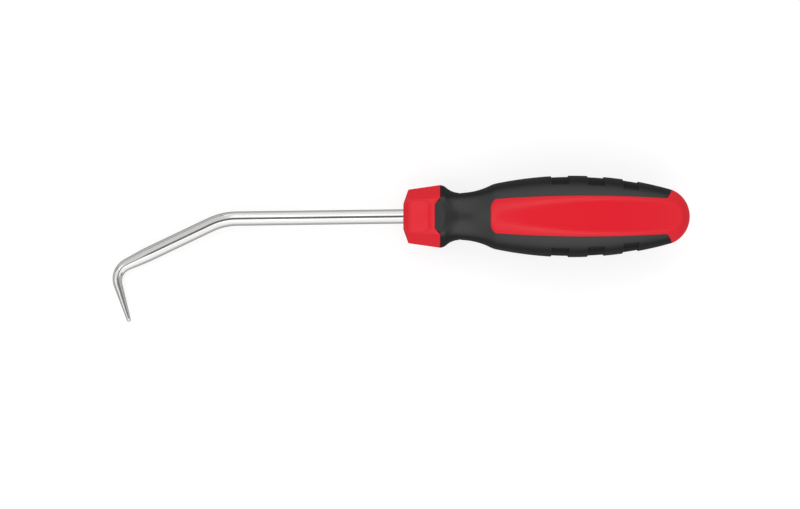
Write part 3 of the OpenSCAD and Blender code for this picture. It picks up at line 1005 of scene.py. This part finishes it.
def panel_shell(form):
    """Both panels and the butt: a bowed sheet from the panel's front edge to the butt's end, mirrored."""
    columns = 36
    fade_l = 6.0 * MM
    corner_rows = 7
    long_rows = 84
    arc_rows = 7
    bend_rows = 4
    slant_rows = 9
    dome_rows = 22
    start_x, start_y = form.corner_mid
    rows = even_steps(start_x, form.corner_x, corner_rows)
    rows += even_steps(form.corner_x, form.sleeve_end, long_rows)
    rows += even_steps(form.sleeve_end, form.cap_mid[0], arc_rows)
    stations = [(x, form.edge_half(x)) for x in rows]
    top_x = form.rear_edge_at(RIGHT_ANGLE)
    slant_y = form.slant_start[1]
    slant_height = form.skin(top_x) - slant_y
    for y in even_steps(form.cap_mid[1], slant_y, bend_rows):
        stations.append((form.rear_edge(y), y))
    for step in range(slant_rows):
        y = slant_y + slant_height * math.sin(RIGHT_ANGLE * step / slant_rows)
        stations.append((form.rear_edge(y), y))
    edge_rows = len(stations)
    first_lean = math.asin((top_x - form.dome_x) / form.butt_r)
    for step in range(dome_rows + 1):
        lean = first_lean + (RIGHT_ANGLE - first_lean) * step / dome_rows
        x = form.dome_x + form.butt_r * math.sin(lean)
        stations.append((x, form.skin(x)))
    turns = [math.asin(min(y / max(form.skin(x), WELD), 1.0)) for x, y in stations]
    turns[edge_rows:] = [RIGHT_ANGLE] * (len(stations) - edge_rows)

    def place(row, column):
        x = stations[row][0]
        turn = turns[row] * (2 * column / columns - 1)
        fade = max(1 - (x - start_x) / fade_l, 0.0)
        across = form.skin(x) * math.sin(turn)
        x += (form.panel_front(min(abs(across), start_y)) - start_x) * fade
        point = form.panel_point(x, abs(turn))
        return Vector((point.x, math.copysign(point.y, turn), point.z))

    bm = bmesh.new()
    mapped_grid(bm, len(stations) - 1, columns, place)
    bmesh.ops.remove_doubles(bm, verts=bm.verts[:], dist=WELD)
    above_middle = 0.05 * MM
    rim = [edge for edge in open_edges(bm) if max(vert.co.z for vert in edge.verts) > above_middle]
    walls = bmesh.ops.extrude_edge_only(bm, edges=rim)["geom"]
    wall_verts = of_kind(walls, BMVert)
    bmesh.ops.scale(bm, vec=(1.0, 1.0, 0.0), verts=wall_verts)
    tall = 2.0 * MM
    rim = [edge for edge in rim if min(vert.co.z for vert in edge.verts) > tall]
    rounded(bm, rim, form.sizes.core_rim, segments=3)
    mirrored(bm, (1.0, 1.0, -1.0))
    welded(bm)
    return bm


def handle_core_mesh():
    """The hard plastic: pads, nose, core, panels and butt, as closed shells that run into each other."""
    form = HandleForm(bpy.context.scene.pick_handle)
    bm = bmesh.new()
    add_to(bm, pad_shell(form))
    mirrored(bm, (1.0, 1.0, -1.0))
    add_to(bm, nose_shell(form))
    add_to(bm, core_shell(form))
    add_to(bm, panel_shell(form))
    return bm


def sleeve_stations(form):
    """Rows of the sleeve's arms, those of each groove, and where the grooves end."""
    sizes = form.sizes
    row_length = 1.1 * MM
    corner_rows = 6
    groove_rows = 9
    rear_rows = 10
    arc_rows = 4
    rows = form.neck_rows()
    rows += even_steps(form.corner_mid[0], form.corner_x, corner_rows)
    start = form.corner_x
    front = form.belly_x - sizes.groove_lead
    grooved = []
    for groove in range(sizes.groove_count):
        rows += even_steps(start, front, max(round((front - start) / row_length), 2))
        start = front + sizes.groove_length - groove * sizes.groove_fade
        first = len(rows)
        rows += even_steps(front, start, groove_rows)
        grooved.append(range(first, len(rows)))
        front = start + sizes.groove_land
    grooves_end = start
    rows += even_steps(start, form.sleeve_end, rear_rows)
    rows += even_steps(form.sleeve_end, form.cap_mid[0], arc_rows)
    rows.append(form.cap_mid[0])
    return rows, grooved, grooves_end


def sleeve_arm(bm, form):
    """One arm of the sleeve with its half of the neck, from panel to panel over the side.

    The faces that become the grooves' floors are marked.
    """
    sizes = form.sizes
    columns = 60
    rows, grooved, grooves_end = sleeve_stations(form)
    last = rows[-1]
    turns = [form.turn_at(x, form.edge_half(x)) for x in rows]
    ends = []
    for column in range(columns + 1):
        off = (2 * column / columns - 1) * (RIGHT_ANGLE - turns[-1])
        ends.append(form.rear_edge_at(RIGHT_ANGLE - abs(off)))

    def place(row, column):
        x = rows[row]
        turn = RIGHT_ANGLE + (2 * column / columns - 1) * (RIGHT_ANGLE - turns[row])
        if x > grooves_end:
            x += (ends[column] - last) * (x - grooves_end) / (last - grooves_end)
        return form.grip_point(x, turn)

    tread = bm.faces.layers.float.new("tread")
    cells = mapped_grid(bm, len(rows) - 1, columns, place)
    for groove, members in enumerate(grooved):
        half_span = (sizes.groove_span + groove * sizes.groove_growth) / 2
        spread = half_span / (RIGHT_ANGLE - turns[members[0]])
        first = round(columns * (1 - spread) / 2)
        for row in members:
            for column in range(first, columns - first):
                cells[row, column][tread] = 1.0


def neck_strip(bm, form):
    """The neck's front between the two arms, from the tongue's front edge to the panel's."""
    columns = 24
    tongue_rows = 8
    rows = even_steps(form.tongue_x, form.sizes.nose, tongue_rows) + form.neck_rows()
    rows.append(form.corner_mid[0])
    last = rows[-1]
    fade_l = 9.0 * MM
    turns = [form.turn_at(x, form.edge_half(x)) for x in rows]

    def place(row, column):
        x = rows[row]
        turn = turns[row] * (2 * column / columns - 1)
        across = min(abs(form.grip_point(x, turn).y), form.edge_half(x))
        rear_fade = max(1 - (last - x) / fade_l, 0.0)
        x += (form.panel_front(min(across, form.corner_mid[1])) - last) * rear_fade
        return form.grip_point(x, turn)

    mapped_grid(bm, len(rows) - 1, columns, place)


def grip_sleeve_mesh():
    """The soft overmould: arms, neck and tongues, given their thickness inwards, then the grooves."""
    form = HandleForm(bpy.context.scene.pick_handle)
    sizes = form.sizes
    bm = bmesh.new()
    sleeve_arm(bm, form)
    mirrored(bm, (1.0, -1.0, 1.0))
    strip = bmesh.new()
    neck_strip(strip, form)
    mirrored(strip, (1.0, 1.0, -1.0))
    add_to(bm, strip)
    welded(bm)
    rim = open_edges(bm)
    bmesh.ops.solidify(bm, geom=bm.faces[:], thickness=sizes.sleeve)
    bmesh.ops.recalc_face_normals(bm, faces=bm.faces[:])
    rounded(bm, [edge for edge in rim if edge.is_valid], sizes.sleeve_rim, segments=4)
    cut_tread(bm, form)
    return bm


def cut_tread(bm, form):
    """Sinks the marked faces of the sleeve's outside, and rounds the edges of the grooves."""
    sizes = form.sizes
    groove_wall = 0.3 * MM
    tread = bm.faces.layers.float["tread"]
    floors = []
    for face in bm.faces:
        middle = face.calc_center_median()
        if face[tread] and middle.yz.length > form.skin(middle.x) - sizes.sleeve / 2:
            floors.append(face)
        else:
            face[tread] = 0.0
    cut = bmesh.ops.inset_region(
        bm, faces=floors, thickness=groove_wall, depth=-sizes.groove_depth, use_even_offset=True
    )
    walls = set(cut["faces"])
    lips = [edge for edge in bm.edges if edge_turns(edge, walls)]
    rounded(bm, lips, sizes.groove_lip, segments=2)


def edge_turns(edge, walls):
    """Whether an edge runs between a groove's wall and its floor or the skin."""
    beside = [face in walls for face in edge.link_faces]
    return len(beside) == 2 and beside[0] != beside[1]


class PICK_OT_shaft(bpy.types.Operator):
    """Builds the bent steel rod."""

    bl_idname = "pick.shaft"
    bl_label = "Shaft"

    def execute(self, context):
        finished_piece(pick_shaft_mesh(), "bent_shaft", bright_steel(), "pick_shaft")
        return {"FINISHED"}


class PICK_OT_core(bpy.types.Operator):
    """Builds the hard plastic of the handle."""

    bl_idname = "pick.core"
    bl_label = "Handle core"

    def execute(self, context):
        mesh = handle_core_mesh()
        piece = finished_piece(mesh, "hard_core", red_plastic(), "handle_core")
        even_shading(piece)
        return {"FINISHED"}


class PICK_OT_sleeve(bpy.types.Operator):
    """Builds the soft sleeve of the handle."""

    bl_idname = "pick.sleeve"
    bl_label = "Grip sleeve"

    def execute(self, context):
        mesh = grip_sleeve_mesh()
        piece = finished_piece(mesh, "soft_sleeve", black_grip(), "grip_sleeve")
        even_shading(piece)
        return {"FINISHED"}


class PICK_OT_stage(bpy.types.Operator):
    """Builds the floor, the light and the camera."""

    bl_idname = "pick.stage"
    bl_label = "Stage"

    def execute(self, context):
        build_floor()
        build_light()
        build_camera()
        return {"FINISHED"}


def build_floor():
    """A wide pale floor that shows white to the camera and keeps the tool's shadow."""
    stage = bpy.context.scene.pick_stage
    half_width = 3.0
    roughness = 0.9
    bm = bmesh.new()
    bmesh.ops.create_grid(bm, x_segments=2, y_segments=2, size=half_width)
    mesh = bpy.data.meshes.new("floor")
    bm.to_mesh(mesh)
    bm.free()
    floor = bpy.data.objects.new("floor", mesh)
    bpy.context.scene.collection.objects.link(floor)
    material = bpy.data.materials.new("Pale floor")
    material.use_nodes = True
    tree = material.node_tree
    shader = tree.nodes["Principled BSDF"]
    shader.inputs["Base Color"].default_value = (*stage.floor, 1.0)
    shader.inputs["Roughness"].default_value = roughness
    shader.inputs["Specular IOR Level"].default_value = 0.0
    shader.inputs["Emission Color"].default_value = (1.0, 1.0, 1.0, 1.0)
    rays = tree.nodes.new("ShaderNodeLightPath").outputs
    seen = add_math(tree, "MAXIMUM", rays["Is Camera Ray"], rays["Is Glossy Ray"])
    seen = add_math(tree, "MAXIMUM", seen, rays["Is Transmission Ray"])
    lift = add_math(tree, "MULTIPLY", seen, stage.floor_lift)
    tree.links.new(lift, shader.inputs["Emission Strength"])
    mesh.materials.append(material)


def build_light():
    """Even light all round and soft lamps on every side, with a darker gap overhead."""
    stage = bpy.context.scene.pick_stage
    scene = bpy.context.scene
    world = bpy.data.worlds.new("Even light")
    world.use_nodes = True
    background = world.node_tree.nodes["Background"]
    background.inputs["Color"].default_value = (1.0, 1.0, 1.0, 1.0)
    background.inputs["Strength"].default_value = stage.world
    scene.world = world
    for side, around, share_of_far in (("far", 0.0, 1.0), ("near", 180.0, stage.near_share)):
        upper = stage.upper_level * share_of_far
        low = stage.side_level * share_of_far
        add_lamp(side + "_upper_lamp", upper, around, lean=38.5, half_angle=22.0, width=0.84, x=0.2)
        add_lamp(side + "_side_lamp", low, around, lean=75.0, half_angle=15.0, width=1.12, x=0.24)
    for side, around in (("far", 38.0), ("near", 142.0)):
        front = stage.front_level
        add_lamp(side + "_front_lamp", front, around, lean=50.0, half_angle=34.0, width=0.8, x=-0.1)
    hook_end = 90.0
    butt_end = -90.0
    add_lamp("hook_end_lamp", stage.hook_level, hook_end, lean=52.0, half_angle=26.0, width=0.7, x=-0.2)
    add_lamp("hook_top_lamp", stage.top_level, hook_end, lean=20.0, half_angle=12.0, width=0.4, x=-0.2)
    add_lamp("butt_end_lamp", stage.butt_level, butt_end, lean=68.0, half_angle=18.0, width=1.0, x=-0.1)
    scene.view_settings.view_transform = "Standard"


def add_lamp(name, brightness, around, lean, half_angle, width, x):
    """A soft lamp at an angle around the tool, leaning from upright, with its angles in degrees.

    It faces the point x of the floor, and is as high as twice the half angle shows from there.
    """
    distance = 0.9
    data = bpy.data.lights.new(name, "AREA")
    data.shape = "RECTANGLE"
    data.size = width
    data.size_y = 2 * distance * math.tan(math.radians(half_angle))
    data.energy = brightness * math.pi * data.size * data.size_y
    lamp = bpy.data.objects.new(name, data)
    turn = Matrix.Rotation(math.radians(around), 4, "Z")
    turn @= Matrix.Rotation(math.radians(-lean), 4, "X")
    middle = Matrix.Translation((x, 0.0, 0.0))
    lamp.matrix_world = middle @ turn @ Matrix.Translation((0.0, 0.0, distance))
    bpy.context.scene.collection.objects.link(lamp)


def build_camera():
    """A long lens that looks straight at the plane of the shaft's bends."""
    stage = bpy.context.scene.pick_stage
    scene = bpy.context.scene
    data = bpy.data.cameras.new("camera")
    data.lens = stage.lens
    data.sensor_width = 36.0
    distance = stage.view_width * data.lens / data.sensor_width
    data.clip_start = 0.01
    data.clip_end = 20.0
    camera = bpy.data.objects.new("camera", data)
    camera.matrix_world = lie_matrix() @ Matrix.Translation((stage.aim_x, stage.aim_y, distance))
    scene.collection.objects.link(camera)
    scene.camera = camera


class VIEW3D_PT_pick(bpy.types.Panel):
    """Lists the pieces of the pick."""

    bl_label = "Bent hook pick"
    bl_idname = "VIEW3D_PT_pick"
    bl_space_type = "VIEW_3D"
    bl_region_type = "UI"
    bl_category = "Pick"

    def draw(self, context):
        for builder in BUILDERS:
            self.layout.operator(builder.bl_idname)
        for name in SETTINGS:
            group = getattr(context.scene, name)
            box = self.layout.box()
            for key in group.__annotations__:
                box.prop(group, key)


SETTINGS = {
    "pick_shaft": ShaftSizes,
    "pick_handle": HandleSizes,
    "pick_lie": LieSizes,
    "pick_finish": FinishSettings,
    "pick_stage": StageSettings,
}
BUILDERS = (PICK_OT_shaft, PICK_OT_core, PICK_OT_sleeve, PICK_OT_stage)


def register():
    for group in SETTINGS.values():
        bpy.utils.register_class(group)
    for name, group in SETTINGS.items():
        setattr(bpy.types.Scene, name, PointerProperty(type=group))
    for builder in BUILDERS:
        bpy.utils.register_class(builder)
    bpy.utils.register_class(VIEW3D_PT_pick)


def unregister():
    bpy.utils.unregister_class(VIEW3D_PT_pick)
    for builder in reversed(BUILDERS):
        bpy.utils.unregister_class(builder)
    for name, group in reversed(SETTINGS.items()):
        delattr(bpy.types.Scene, name)
        bpy.utils.unregister_class(group)


def main():
    register()
    bpy.ops.pick.shaft()
    bpy.ops.pick.core()
    bpy.ops.pick.sleeve()
    bpy.ops.pick.stage()
    bpy.context.view_layer.update()


if __name__ == "__main__":
    main()
